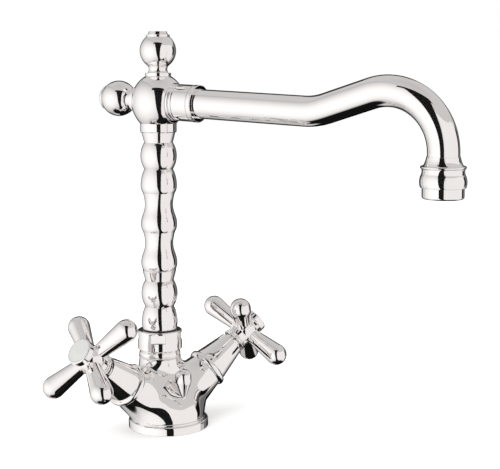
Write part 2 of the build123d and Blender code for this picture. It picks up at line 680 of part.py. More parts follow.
dip, climb = radians(SPOUT_DIP), radians(SWEEP_RISE)
curves_reach = SWEEP_R * (sin(climb) + sin(dip)) + RAMP_LENGTH * cos(climb) + ARCH_R * (1 + sin(climb))
straight_end = (SPOUT_REACH - curves_reach) / cos(dip)
spout_upright = Plane(origin=spout_root, x_dir=spout_heading, z_dir=spout_side)
with BuildPart() as spout_tube:
    with BuildLine(spout_upright) as spout_line:
        run = Line((TUBE_START * cos(dip), -TUBE_START * sin(dip)),
                   (straight_end * cos(dip), -straight_end * sin(dip)))
        sweep_up = JernArc((straight_end * cos(dip), -straight_end * sin(dip)), (cos(dip), -sin(dip)),
                           SWEEP_R, SPOUT_DIP + SWEEP_RISE)
        ramp_foot = spout_upright.to_local_coords(sweep_up @ 1)
        high = (ramp_foot.X + RAMP_LENGTH * cos(climb), ramp_foot.Y + RAMP_LENGTH * sin(climb))
        Line((ramp_foot.X, ramp_foot.Y), high)
        arch = JernArc(high, (cos(climb), sin(climb)), ARCH_R, -(90 + SWEEP_RISE))
        low = spout_upright.to_local_coords(arch @ 1)
        Line((low.X, low.Y), (low.X, low.Y - TUBE_DROP - TUBE_TAIL))
    with BuildSketch(across(spout, TUBE_START)):
        Circle(TUBE_R)
        Circle(TUBE_BORE_R, mode=Mode.SUBTRACT)
    sweep(path=spout_line.wires()[0])
save(spout_tube.part, "spout_tube")
tube_end_z = (arch @ 1).Z - TUBE_DROP

# ================================================================ outlet
nozzle_roof = tube_end_z - NOZZLE_END + AERATOR_SOCKET_H
with BuildPart() as spout_nozzle:
    with BuildSketch(outlet):
        with BuildLine():
            Polyline((FLARE_TOP_R, tube_end_z), (TUBE_R + RUN_GAP, tube_end_z),
                     (TUBE_R + RUN_GAP, tube_end_z - TUBE_TAIL), (TUBE_BORE_R, tube_end_z - TUBE_TAIL),
                     (TUBE_BORE_R, nozzle_roof), (AERATOR_SOCKET_R, nozzle_roof),
                     (AERATOR_SOCKET_R, tube_end_z - NOZZLE_END),
                     (BIG_BEAD_FOOT_R, tube_end_z - NOZZLE_END))
            RadiusArc((FLARE_FOOT_R, tube_end_z - FLARE_FOOT), (FLARE_TOP_R, tube_end_z), FLARE_CURVE_R)
            Line((FLARE_FOOT_R, tube_end_z - FLARE_FOOT), (COVE_EDGE_R, tube_end_z - FLARE_FOOT))
            ThreePointArc((COVE_EDGE_R, tube_end_z - FLARE_FOOT),
                          (TOP_BEAD_R, tube_end_z - (FLARE_FOOT + TOP_BEAD_FOOT) / 2),
                          (COVE_EDGE_R, tube_end_z - TOP_BEAD_FOOT))
            ThreePointArc((COVE_EDGE_R, tube_end_z - TOP_BEAD_FOOT), (COVE_R, tube_end_z - COVE_MID),
                          (COVE_EDGE_R, tube_end_z - BIG_BEAD_TOP))
            ThreePointArc((COVE_EDGE_R, tube_end_z - BIG_BEAD_TOP),
                          (BIG_BEAD_R, tube_end_z - BIG_BEAD_MID),
                          (BIG_BEAD_FOOT_R, tube_end_z - NOZZLE_END))
        make_face()
    revolve(axis=turning_axis(outlet))
save(spout_nozzle.part, "spout_nozzle")

shell_top = tube_end_z - NOZZLE_END - FACE_GAP
shell_foot = shell_top - AERATOR_H
jet_seat = shell_foot + AERATOR_LEDGE_H
with BuildPart() as aerator_shell:
    shell = turned(
        outlet,
        (AERATOR_MOUTH_R, shell_foot),
        (AERATOR_R, shell_foot),
        (AERATOR_R, shell_top),
        (AERATOR_SOCKET_R - RUN_GAP, shell_top),
        (AERATOR_SOCKET_R - RUN_GAP, shell_top + AERATOR_THREAD_H),
        (AERATOR_BORE_R, shell_top + AERATOR_THREAD_H),
        (AERATOR_BORE_R, jet_seat),
        (AERATOR_MOUTH_R, jet_seat),
    )
    revolve(shell, axis=turning_axis(outlet))
    fillet(aerator_shell.edges().filter_by(GeomType.CIRCLE).group_by(Axis.Z)[0].sort_by(SortBy.RADIUS)[-1],
           AERATOR_EDGE)
save(aerator_shell.part, "aerator_shell")

with BuildPart() as aerator_insert:
    with BuildSketch(across(outlet, jet_seat)):
        Circle(AERATOR_BORE_R - RUN_GAP)
    extrude(amount=JET_H)
    with BuildSketch(across(outlet, jet_seat + JET_FLOOR_H)):
        Circle(AERATOR_BORE_R - JET_WALL)
    extrude(amount=JET_H, mode=Mode.SUBTRACT)
    with BuildSketch(across(outlet, jet_seat)):
        for ring_radius, holes in zip(JET_RING_RADII, JET_RING_HOLES):
            with PolarLocations(ring_radius, holes):
                Circle(JET_HOLE_R)
    extrude(amount=JET_FLOOR_H, mode=Mode.SUBTRACT)
save(aerator_insert.part, "aerator_insert")

with BuildPart() as aerator_seal:
    with BuildSketch(across(outlet, nozzle_roof - AERATOR_SEAL_H)):
        Circle(AERATOR_SOCKET_R - RUN_GAP)
        Circle(TUBE_BORE_R, mode=Mode.SUBTRACT)
    extrude(amount=AERATOR_SEAL_H)
save(aerator_seal.part, "aerator_seal")

# ================================================================ valves, covers and crossheads
disc_seat = SEAT + SEAT_SEAL_H
moving_seat = disc_seat + DISC_H + FACE_GAP
spindle_foot = moving_seat + DISC_H + FACE_GAP
spindle_shoulder = spindle_foot + SPINDLE_FOOT_H
socket_top = SPINDLE_END + FACE_GAP
screw_seat = socket_top + WEB_H
screw_top = screw_seat + SCREW_HEAD_H
screw_hole_foot = screw_seat - SCREW_LENGTH - SCREW_TIP_GAP
index_seat = KNOT_END + BUTTON_H - INDEX_H + INDEX_PROUD
tip_distance = hypot(LEVER_ROOT_R, LEVER_REACH - LEVER_ROOT)
lever_lean = degrees(atan2(LEVER_TIP_R, (tip_distance ** 2 - LEVER_TIP_R ** 2) ** 0.5)
                     - atan2(LEVER_ROOT_R, LEVER_REACH - LEVER_ROOT))

for side in SIDES:
    arm = arm_plane(side)

    with BuildPart() as seat_seal:
        with BuildSketch(across(arm, SEAT)):
            Circle(SEAT_R - 2 * RUN_GAP)
            Circle(SEAT_SEAL_IN_R, mode=Mode.SUBTRACT)
        extrude(amount=SEAT_SEAL_H)
    save(seat_seal.part, f"{side}_cartridge_seal")

    with BuildPart() as fixed_disc:
        with BuildSketch(across(arm, disc_seat)):
            Circle(DISC_R)
            with PolarLocations(DISC_PORT_OFFSET, 2):
                Circle(DISC_PORT_R, mode=Mode.SUBTRACT)
        extrude(amount=DISC_H)
    save(fixed_disc.part, f"{side}_fixed_disc")

    # the turning disc stands a quarter turn off: both valves are shut in the photo
    with BuildPart() as moving_disc:
        with BuildSketch(across(arm, moving_seat)):
            Circle(MOVING_DISC_R)
            with PolarLocations(DISC_PORT_OFFSET, 2, start_angle=90):
                Circle(DISC_PORT_R, mode=Mode.SUBTRACT)
        extrude(amount=DISC_H)
    save(moving_disc.part, f"{side}_moving_disc")

    with BuildPart() as cartridge:
        barrel = turned(
            arm,
            (CHAMBER_R, disc_seat),
            (SEAT_R - RUN_GAP, disc_seat),
            (SEAT_R - RUN_GAP, ARM_END),
            (CARTRIDGE_NECK_R, ARM_END),
            (CARTRIDGE_NECK_R, CARTRIDGE_STEP),
            (CARTRIDGE_TOP_R, CARTRIDGE_STEP),
            (CARTRIDGE_TOP_R, CARTRIDGE_END),
            (SPINDLE_R + RUN_GAP, CARTRIDGE_END),
            (SPINDLE_R + RUN_GAP, CHAMBER_END),
            (CHAMBER_R, CHAMBER_END),
        )
        revolve(barrel, axis=turning_axis(arm))
        with BuildSketch(across(arm, ARM_END)):
            RegularPolygon(HEX_ACROSS / 2, 6, major_radius=False)
            Circle(CARTRIDGE_TOP_R, mode=Mode.SUBTRACT)
        extrude(amount=HEX_H)
        for outward in (arm.x_dir, arm.z_dir):
            with BuildSketch(Plane(origin=on_axis(arm, WINDOW), x_dir=arm.y_dir, z_dir=outward)):
                Rectangle(WINDOW_H, WINDOW_W)
            extrude(amount=SEAT_R + 1, both=True, mode=Mode.SUBTRACT)
    save(cartridge.part, f"{side}_cartridge")

    with BuildPart() as spindle:
        stem = turned(
            arm,
            (0, spindle_foot),
            (SPINDLE_FOOT_R, spindle_foot),
            (SPINDLE_FOOT_R, spindle_shoulder),
            (SPINDLE_R, spindle_shoulder),
            (SPINDLE_R, SPINDLE_GRIP),
            (0, SPINDLE_GRIP),
        )
        revolve(stem, axis=turning_axis(arm))
        with BuildSketch(across(arm, SPINDLE_GRIP)):
            RegularPolygon(SPINDLE_R, SPINDLE_SIDES)
        extrude(amount=SPINDLE_END - SPINDLE_GRIP)
        with BuildSketch(across(arm, SPINDLE_END)):
            Circle(SCREW_R + RUN_GAP)
        extrude(amount=screw_hole_foot - SPINDLE_END, mode=Mode.SUBTRACT)
    save(spindle.part, f"{side}_spindle")

    with BuildPart() as bell_cover:
        with BuildSketch(arm):
            with BuildLine():
                rim_top = ARM_END + BELL_RIM_H
                Polyline((BELL_BASE_R, rim_top), (BELL_TOP_R, BELL_END), (BELL_HOLE_R, BELL_END),
                         (BELL_HOLE_R, BELL_END - BELL_CAP_H),
                         (BELL_TOP_R - BELL_WALL + 0.3, BELL_END - BELL_CAP_H),
                         (BELL_BASE_R - BELL_WALL, rim_top), (BELL_BASE_R - BELL_WALL, ARM_END),
                         (BELL_RIM_FOOT_R, ARM_END))
                ThreePointArc((BELL_RIM_FOOT_R, ARM_END), (BELL_RIM_R, ARM_END + BELL_RIM_H / 2),
                              (BELL_RIM_FOOT_R, rim_top))
                Line((BELL_RIM_FOOT_R, rim_top), (BELL_BASE_R, rim_top))
            make_face()
        revolve(axis=turning_axis(arm))
    save(bell_cover.part, f"{side}_bell_cover")

    with BuildPart() as crosshead:
        # the turned core
        with BuildSketch(arm):
            with BuildLine():
                station = SKIRT_START
                for bead_r, bead_h in SKIRT_BEADS:
                    ThreePointArc((SKIRT_R, station), (bead_r, station + bead_h / 2),
                                  (SKIRT_R, station + bead_h))
                    station += bead_h
                Line((SKIRT_R, station), (BARREL_R, BARREL_END))
                ThreePointArc((BARREL_R, BARREL_END), (KNOT_R, CROSS), (KNOT_NECK_R, KNOT_NECK))
                Polyline((KNOT_NECK_R, KNOT_NECK), (KNOT_NECK_R + 0.8, KNOT_END), (0, KNOT_END),
                         (0, SKIRT_START), (SKIRT_R, SKIRT_START))
            make_face()
        revolve(axis=turning_axis(arm))
        # four levers with round ends
        for k in range(LEVER_COUNT):
            lever_x = across(arm, CROSS, LEVER_TURN[side] + k * 360 / LEVER_COUNT)
            lever = seat_plane(lever_x.origin, lever_x.x_dir, arm.y_dir)
            with BuildSketch(lever):
                with BuildLine():
                    lean = radians(lever_lean)
                    touch = (LEVER_TIP_R * cos(lean), LEVER_REACH - LEVER_TIP_R * sin(lean))
                    Polyline((0, LEVER_REACH + LEVER_TIP_R), (0, LEVER_ROOT), (LEVER_ROOT_R, LEVER_ROOT),
                             touch)
                    RadiusArc((0, LEVER_REACH + LEVER_TIP_R), touch, LEVER_TIP_R)
                make_face()
            revolve(axis=turning_axis(lever))
        # recess for the cover's neck, many-sided socket, screw hole and screw recess
        with BuildSketch(across(arm, SKIRT_START)):
            Circle(SKIRT_BORE_R)
        extrude(amount=SKIRT_DEPTH, mode=Mode.SUBTRACT)
        with BuildSketch(across(arm, SKIRT_START)):
            RegularPolygon(SPINDLE_R + SOCKET_PLAY, SPINDLE_SIDES)
        extrude(amount=socket_top - SKIRT_START, mode=Mode.SUBTRACT)
        with BuildSketch(across(arm, SKIRT_START)):
            Circle(SCREW_R + RUN_GAP)
        extrude(amount=screw_seat - SKIRT_START, mode=Mode.SUBTRACT)
        with BuildSketch(across(arm, screw_seat)):
            Circle(BUTTON_PLUG_R + RUN_GAP)
        extrude(amount=KNOT_END - screw_seat, mode=Mode.SUBTRACT)
    save(crosshead.part, f"{side}_crosshead")

    with BuildPart() as handle_screw:
        with BuildSketch(across(arm, screw_seat)):
            Circle(SCREW_HEAD_R)
        extrude(amount=SCREW_HEAD_H)
        with BuildSketch(across(arm, screw_seat)):
            Circle(SCREW_R)
        extrude(amount=-SCREW_LENGTH)
        with BuildSketch(across(arm, screw_top)):
            RegularPolygon(SCREW_HEX / 2, 6, major_radius=False)
        extrude(amount=-SCREW_HEAD_H / 2, mode=Mode.SUBTRACT)
    save(handle_screw.part, f"{side}_handle_screw")

    with BuildPart() as index_ring:
        with BuildSketch(across(arm, KNOT_END)):
            Circle(BUTTON_R)
        extrude(amount=BUTTON_H)
        fillet(index_ring.edges().filter_by(GeomType.CIRCLE), BUTTON_EDGE)
        with BuildSketch(across(arm, KNOT_END)):
            Circle(BUTTON_PLUG_R)
        extrude(amount=screw_top + BUTTON_PLUG_GAP - KNOT_END)
        with BuildSketch(across(arm, index_seat)):
            Circle(INDEX_R + RUN_GAP)
        extrude(amount=BUTTON_H, mode=Mode.SUBTRACT)
    save(index_ring.part, f"{side}_index_ring")

    with BuildPart() as index_disc:
        with BuildSketch(arm):
            with BuildLine():
                Polyline((0, index_seat + INDEX_H), (0, index_seat), (INDEX_R, index_seat),
                         (INDEX_R, index_seat + INDEX_H - INDEX_PROUD))
                TangentArc((0, index_seat + INDEX_H), (INDEX_R, index_seat + INDEX_H - INDEX_PROUD),
                           tangent=(1, 0))
            make_face()
        revolve(axis=turning_axis(arm))
    save(index_disc.part, f"{side}_index_disc")
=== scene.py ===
# %% [markdown]
# # A chromed two-handle kitchen mixer
# The model comes in as a fixed frame of solids in metres. +Z is up, the user stands on the -Y side, and
# the origin is the middle of the base on the deck. The scene gives each piece its finish, sets up the
# studio that a mirror surface needs, and looks at it from the angle of the photograph.

import json
from math import cos, radians, sin

import bmesh
import bpy
import numpy as np
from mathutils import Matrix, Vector


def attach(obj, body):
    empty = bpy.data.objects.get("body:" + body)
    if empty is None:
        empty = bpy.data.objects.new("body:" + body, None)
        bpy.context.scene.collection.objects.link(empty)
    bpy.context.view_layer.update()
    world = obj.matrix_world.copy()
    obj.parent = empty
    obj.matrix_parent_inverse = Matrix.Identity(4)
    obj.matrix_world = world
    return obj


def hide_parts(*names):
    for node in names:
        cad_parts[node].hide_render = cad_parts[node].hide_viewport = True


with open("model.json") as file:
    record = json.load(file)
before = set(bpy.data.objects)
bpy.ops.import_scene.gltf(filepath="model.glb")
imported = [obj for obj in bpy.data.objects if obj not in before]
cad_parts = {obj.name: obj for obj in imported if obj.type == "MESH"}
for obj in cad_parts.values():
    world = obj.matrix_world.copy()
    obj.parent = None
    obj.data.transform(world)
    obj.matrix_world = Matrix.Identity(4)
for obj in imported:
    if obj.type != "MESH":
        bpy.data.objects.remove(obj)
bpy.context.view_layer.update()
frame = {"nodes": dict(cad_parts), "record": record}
nodes = frame["nodes"]
scene = bpy.context.scene
scene.view_settings.view_transform = "Standard"
MM = 0.001

# %% [markdown]
# ## Helpers
# One helper adds a node of any kind and feeds its inputs, so that a tree reads like its formula: a node
# that is given as an input stands for its first live output. Colours are written as sRGB hex values, as a
# paint chart gives them, and turned to linear light once.

# %% Nodes and colours
MATH, MIX, RANGE = "ShaderNodeMath", "ShaderNodeMix", "ShaderNodeMapRange"
NOISE, CELLS, BUMP = "ShaderNodeTexNoise", "ShaderNodeTexVoronoi", "ShaderNodeBump"
COLOURS = {"data_type": "RGBA"}         # a Mix node that mixes colours


def feed(tree, node, *values, **links):
    """Sets or links the inputs of a node, in their order or by name."""
    for key, value in (*enumerate(values), *links.items()):
        socket = node.inputs[key if isinstance(key, int) else key.replace("_", " ")]
        if isinstance(value, bpy.types.Node):
            value = next(output for output in value.outputs if output.enabled)
        if isinstance(value, bpy.types.NodeSocket):
            tree.links.new(value, socket)
        else:
            socket.default_value = value
    return node


def add(tree, kind, settings=None, *values, **links):
    """Adds a node: settings are its properties, or the name of a maths node's operation."""
    node = tree.nodes.new(kind)
    if isinstance(settings, str):
        settings = {"operation": settings}
    for name, value in (settings or {}).items():
        setattr(node, name, value)
    return feed(tree, node, *values, **links)


def colour(hex_code):
    """An sRGB hex colour as linear RGBA."""
    channels = [int(hex_code[i:i + 2], 16) / 255 for i in (1, 3, 5)]
    return tuple(c / 12.92 if c <= 0.04045 else ((c + 0.055) / 1.055) ** 2.4 for c in channels) + (1.0,)


def link(name, data):
    """Puts a mesh, a lamp or a camera into the scene."""
    item = bpy.data.objects.new(name, data)
    scene.collection.objects.link(item)
    return item


# %% [markdown]
# ## The camera
# The photograph was taken from the front left and from a little above, with a long lens, so upright
# lines stay upright. A long lens with a small downward pitch and a small shift gives the same picture.

# %% Place the camera
CAMERA_AT = Vector((-471.5, -630.8, 242.4)) * MM
CAMERA_TURN = -40.834      # degrees from looking along +Y
CAMERA_PITCH = 5.0         # degrees downwards
camera_data = bpy.data.cameras.new("camera")
camera_data.lens = 84.574
camera_data.sensor_width = 36.0
camera_data.shift_y = -0.1264
camera_data.clip_start = 0.01
camera = link("camera", camera_data)
camera.location = CAMERA_AT
camera.rotation_euler = (radians(90 - CAMERA_PITCH), 0, radians(CAMERA_TURN))
scene.camera = camera
print("camera", [round(v, 3) for v in camera.location])

# %% [markdown]
# ## The studio
# Mirror chrome has no colour of its own: it shows the room. The photograph's room is read from the ball
# hub, which mirrors all of it: a long pale panel on the left that reaches far behind, a second one on the
# right, a grey ceiling, a darker wall behind and an unlit deck below. The world draws that room by
# direction. For the camera the same background is plain white, and soft white light fills the scene for
# whatever isn't metal.

# %% Room
HUB_VIEW = radians(-36.7)      # from the hub to the camera, measured as the camera's turn
HUB_TIP = radians(-3.3)        # the room was read from a little above
BEHIND = 180.0
# tones as display values, 0 to 1
CEILING, OVERHEAD, BACK_WALL, DOORWAY = 0.80, 0.76, 0.42, 0.22
DECK, LOW_DOORWAY, PAST_THE_STAND, STAND = 0.10, 0.05, 0.10, 0.07
PANEL_MIDDLE, PANEL_EDGE, RIGHT_PANEL = 1.05, 0.66, 0.945
DISPLAY_GAMMA = 2.2
# the panels' top edges: azimuth, and elevation as a share of 90 degrees; both ends come first
LEFT_TOP = [(-180, 0.10), (0, 0.56), (-165, 0.19), (-150, 0.30), (-135, 0.42), (-120, 0.53), (-105, 0.61),
            (-90, 0.64), (-60, 0.645), (-20, 0.60)]
RIGHT_TOP = [(0, 0.44), (180, 0.0), (60, 0.36), (90, 0.30), (120, 0.15)]


def top_edge(tree, azimuth, low, high, points):
    """The elevation of a panel's top edge, as a smooth curve over the azimuth."""
    share = add(tree, RANGE, None, azimuth, From_Min=low, From_Max=high)
    node = add(tree, "ShaderNodeFloatCurve", Value=share)
    line = node.mapping.curves[0]
    for k, (x, y) in enumerate(points):
        place = ((x - low) / (high - low), y)
        if k in (0, 1):
            line.points[k].location = place
        else:
            line.points.new(*place)
    node.mapping.update()
    return add(tree, MATH, "MULTIPLY", node, 90.0)


def build_room(tree):
    """The room's colour for a direction, from azimuth and elevation in degrees."""

    def over(value, edge, soft, below=0.0, above=1.0):
        """Steps softly from one value to the other at an edge, which may itself be a node."""
        past = add(tree, MATH, "SUBTRACT", value, edge)
        return add(tree, RANGE, {"interpolation_type": "SMOOTHSTEP"}, past, From_Min=-soft, From_Max=soft,
                   To_Min=below, To_Max=above)

    def under(value, edge, soft):
        return over(value, edge, soft, 1.0, 0.0)

    def both(first, *others):
        """Where all the masks are 1."""
        for mask in others:
            first = add(tree, MATH, "MULTIPLY", first, mask)
        return first

    def paint(shade, mask, tone):
        """Lays a tone over the shade so far."""
        return add(tree, MIX, {"data_type": "FLOAT"}, Factor=mask, A=shade, B=tone)

    def squared(value, middle, reach):
        """How far a value is from the middle, as a share of the reach, squared."""
        off = add(tree, MATH, "SUBTRACT", value, middle)
        return add(tree, MATH, "POWER", add(tree, MATH, "DIVIDE", off, reach), 2.0)

    # azimuth from the camera's direction, positive to the viewer's right
    direction = add(tree, "ShaderNodeTexCoord").outputs["Generated"]
    turned_round = add(tree, "ShaderNodeVectorRotate", {"rotation_type": "Z_AXIS"}, Vector=direction,
                       Angle=-HUB_VIEW)
    tipped = add(tree, "ShaderNodeVectorRotate", {"rotation_type": "X_AXIS"}, Vector=turned_round,
                 Angle=HUB_TIP)
    x, y, z = add(tree, "ShaderNodeSeparateXYZ", None, tipped).outputs
    forward = add(tree, MATH, "MULTIPLY", y, -1.0)
    azimuth = add(tree, MATH, "DEGREES", add(tree, MATH, "ARCTAN2", x, forward))
    elevation = add(tree, MATH, "DEGREES", add(tree, MATH, "ARCSINE", z))
    turn_away = add(tree, MATH, "ABSOLUTE", azimuth)

    # ceiling, darker overhead, and the unlit deck under everything
    shade = paint(CEILING, over(elevation, 70.0, 20.0), OVERHEAD)
    shade = paint(shade, under(elevation, -65.0, 5.0), DECK)
    # the far wall, darker level with the mixer, and a dark doorway straight behind it
    back = both(over(turn_away, 124.0, 4.0), under(elevation, 17.0, 3.0), over(elevation, -46.0, 6.0))
    shade = paint(shade, back, BACK_WALL)
    doorway = both(over(turn_away, 158.0, 4.0), under(elevation, 34.0, 3.0), over(elevation, -40.0, 6.0))
    shade = paint(shade, doorway, DOORWAY)
    low_doorway = both(over(azimuth, 146.0, 4.0), under(elevation, -14.0, 3.0))
    shade = paint(shade, low_doorway, LOW_DOORWAY)
    # the front edge of the stand slants: past it, low on the right, the room is unlit
    slanted = add(tree, MATH, "MULTIPLY_ADD", azimuth, -0.12, elevation)
    shade = paint(shade, both(over(azimuth, 6.0, 6.0), under(slanted, -60.0, 3.0)), PAST_THE_STAND)
    # left panel: its top edge drops towards the back, and its light falls off from its middle
    left = under(azimuth, 0.0, 1.0)
    left_top = top_edge(tree, azimuth, -BEHIND, 0.0, LEFT_TOP)
    frame_low, frame_high = (add(tree, MATH, "ADD", left_top, off) for off in (-1.0, 1.0))
    shade = paint(shade, both(left, over(elevation, frame_low, 1.2), under(elevation, frame_high, 1.2),
                              over(azimuth, -160.0, 5.0)), PANEL_EDGE)
    fall = add(tree, MATH, "ADD", squared(azimuth, -60.0, 168.0), squared(elevation, -8.0, 128.0))
    glow = add(tree, MATH, "SUBTRACT", PANEL_MIDDLE, fall)
    shade = paint(shade, both(left, over(azimuth, -150.0, 8.0), under(elevation, left_top, 0.8),
                              over(elevation, -57.0, 6.0)), glow)
    # right panel: narrower and lower, with a dark stand beside it
    right = over(azimuth, 0.0, 1.0)
    right_top = top_edge(tree, azimuth, 0.0, BEHIND, RIGHT_TOP)
    shade = paint(shade, both(right, under(azimuth, 106.0, 2.0), under(elevation, right_top, 1.0),
                              over(elevation, -48.0, 6.0)), RIGHT_PANEL)
    shade = paint(shade, both(over(azimuth, 106.0, 2.0), under(azimuth, 122.0, 3.0),
                              under(elevation, 13.0, 3.0), over(elevation, -16.0, 4.0)), STAND)
    # the light is a little warmer on the right
    tint = add(tree, MIX, COLOURS, Factor=over(azimuth, 10.0, 30.0), A=(1.0, 0.995, 0.988, 1),
               B=(1.0, 0.975, 0.965, 1))
    light = add(tree, MATH, "POWER", shade, DISPLAY_GAMMA)
    return add(tree, "ShaderNodeVectorMath", "SCALE", tint, Scale=light)


# %% World
def build_world():
    world = bpy.data.worlds.new("studio")
    scene.world = world
    world.use_nodes = True
    tree = world.node_tree
    tree.nodes.clear()
    rays = add(tree, "ShaderNodeLightPath").outputs
    # the background: white for the camera, the room's panels and walls in metal and glass
    backdrop = add(tree, MIX, COLOURS, Factor=rays["Is Camera Ray"], A=build_room(tree), B=(1, 1, 1, 1))
    background = add(tree, "ShaderNodeBackground", Color=backdrop, Strength=1.0)
    ambient = add(tree, "ShaderNodeBackground", Color=colour("#fdfdfc"), Strength=1.12)
    shown = add(tree, MATH, "ADD", rays["Is Camera Ray"], rays["Is Glossy Ray"])
    shown = add(tree, MATH, "ADD", shown, rays["Is Transmission Ray"])
    shown = add(tree, MATH, "MINIMUM", shown, 1.0)
    mixed = add(tree, "ShaderNodeMixShader", None, shown, ambient, background)
    add(tree, "ShaderNodeOutputWorld", None, mixed)
    print("world nodes", len(tree.nodes))


build_world()

# %% [markdown]
# ## Painted dark gap and floor
# The camera looks through a gap between two white screens, under a crossbar. The gap is near, so it sits
# in a different place in each curved piece: left of the middle on the outlet and right of it on the rear
# finial. That is why the gap's darkness is painted shade on a dark sheet, 0.45 m in front of the column,
# and not a stripe in the world. Only mirrored rays see it. The deck is a plain white sheet that keeps the
# mixer's soft shadow.

# %% Stage surfaces
def build_stage(name, points, faces, sheet_finish, tone):
    """A flat sheet of the studio, with no gloss at all."""
    mesh = bpy.data.meshes.new(name)
    mesh.from_pydata(points, [], faces)
    material = bpy.data.materials.new(sheet_finish)
    material.use_nodes = True
    feed(material.node_tree, material.node_tree.nodes["Principled BSDF"], Base_Color=colour(tone),
         Roughness=1.0, Specular_IOR_Level=0.0)
    mesh.materials.append(material)
    sheet = link(name, mesh)
    print(name, "faces", len(faces))
    return sheet


# %% Gap and crossbar
TOWARDS_CAMERA = Vector((-0.661, -0.750, 0))
TO_THE_RIGHT = Vector((0.750, -0.661, 0))
GAP_DISTANCE = 450
# rows of height, left edge and right edge, in mm
GAP = ((-2400, -300, 3200), (-1300, -90, 1050), (-900, -20, 540), (-600, 30, 330), (-400, 30, 235),
       (-270, 20, 183), (-130, -5, 155), (0, -30, 140), (100, -45, 140), (230, -62, 142), (380, -80, 165),
       (500, -112, 205), (640, -148, 255), (702, -175, 275))
BAR = ((700, -290, 345), (880, -290, 345))


def build_gap():
    points, faces = [], []
    for rows in (GAP, BAR):
        first = len(points)
        for height, left, right in rows:
            for side in (left, right):
                at = TOWARDS_CAMERA * GAP_DISTANCE + TO_THE_RIGHT * side + Vector((0, 0, height))
                points.append(at * MM)
        faces += [(first + 2 * k, first + 2 * k + 1, first + 2 * k + 3, first + 2 * k + 2)
                  for k in range(len(rows) - 1)]
    # the gap and crossbar are a dark sheet of painted shade, which only mirrored rays see
    gap = build_stage("camera_gap", points, faces, "painted_dark_gap", "#171717")
    gap.visible_camera = False
    gap.visible_diffuse = False
    gap.visible_transmission = False
    gap.visible_shadow = False


build_gap()

# %% Floor
HALF = 3.0                              # half the floor's width, in metres
floor = build_stage("floor", [(-HALF, -HALF, 0), (HALF, -HALF, 0), (HALF, HALF, 0), (-HALF, HALF, 0)],
                    [(0, 1, 2, 3)], "white_deck", "#ffffff")
floor.visible_glossy = False

# %% [markdown]
# ## Lamps
# One large soft lamp over the left shoulder and a weaker one on the right model the few pieces that
# aren't metal. Mirrors don't see them, because the room already has its panels.

# %% Place the lamps
LAMPS = {"key_lamp": (-50, 50, 9), "fill_lamp": (60, 35, 4)}       # azimuth, elevation, watts
LAMP_TARGET = Vector((0, 0, 0.12))      # the middle of the mixer
LAMP_DISTANCE, LAMP_SIZE = 1.6, 1.2     # in metres
for name, (azimuth, elevation, watts) in LAMPS.items():
    turn, rise = HUB_VIEW + radians(azimuth), radians(elevation)
    away = Vector((sin(turn) * cos(rise), -cos(turn) * cos(rise), sin(rise)))
    lamp_data = bpy.data.lights.new(name, "AREA")
    lamp_data.size = LAMP_SIZE
    lamp_data.energy = watts
    lamp = link(name, lamp_data)
    lamp.location = LAMP_TARGET + away * LAMP_DISTANCE
    lamp.rotation_euler = away.to_track_quat("Z", "Y").to_euler()
    lamp.visible_glossy = False
    print(name, [round(v, 2) for v in lamp.location])

# %% [markdown]
# ## Chrome plate
# The brass castings are ground, buffed to a mirror, and plated with nickel and a very thin coat of bright
# chrome. The eye sees an almost perfect mirror with three small faults that make it real: a faint
# waviness from the buffing wheel, a thin haze that comes and goes, and corners that the wheel has
# softened. The Bevel node bends the light at those corners without touching the mesh.

# %% Finish helpers
def finish(name):
    """An empty finish: its material, node tree, shader and the place on the object, in metres."""
    material = bpy.data.materials.new(name)
    material.use_nodes = True
    tree = material.node_tree
    place = add(tree, "ShaderNodeTexCoord").outputs["Object"]
    return material, tree, tree.nodes["Principled BSDF"], place


def per(size):
    """The scale of a pattern whose features are this many millimetres wide."""
    return 1 / (size * MM)


# %% Chrome
CHROME = ("#f8f5f4", "#fdfbfa")
CORNER = 0.3                            # radius of a buffed corner, in mm


def mirror_chrome():
    material, tree, shader, place = finish("mirror_chrome_plate")
    # bright chrome over nickel, a little greyer where the plate is thin
    patches = add(tree, NOISE, Vector=place, Scale=per(14.0), Detail=2.0)
    tone = add(tree, MIX, COLOURS, Factor=patches, A=colour(CHROME[0]), B=colour(CHROME[1]))
    # buffed corners
    soft = add(tree, "ShaderNodeBevel", {"samples": 6}, Radius=CORNER * MM)
    true = add(tree, "ShaderNodeNewGeometry").outputs["Normal"]
    same = add(tree, "ShaderNodeVectorMath", "DOT_PRODUCT", soft, true)
    corner = add(tree, RANGE, None, same, From_Min=1.0, From_Max=0.8)
    # haze: wiping marks about 9 mm apart, and a little more of it on the corners
    haze = add(tree, NOISE, Vector=place, Scale=per(9.0), Detail=4.0, Distortion=0.6)
    rough = add(tree, RANGE, None, haze, From_Min=0.35, From_Max=0.75, To_Min=0.018, To_Max=0.05)
    rough = add(tree, MATH, "MULTIPLY_ADD", corner, 0.05, rough)
    # waviness of the buffed brass: two microns over six millimetres
    wave = add(tree, NOISE, Vector=place, Scale=per(6.0), Detail=1.0)
    normal = add(tree, BUMP, Strength=0.6, Distance=0.004 * MM, Height=wave, Normal=soft)
    feed(tree, shader, Metallic=1.0, Base_Color=tone, Roughness=rough, Normal=normal)
    return material


# %% [markdown]
# ## Turned metal and plastic
# The inner parts come off a lathe and stay unplated. A lathe leaves fine rings round the axis, so the
# pattern is a noise that runs along the axis only, by the station of each point on it. Real feed marks
# are 0.1 mm apart; here they are 0.5 mm, so that they show. The arms rise and lean back a little, so
# each side has its own axis.

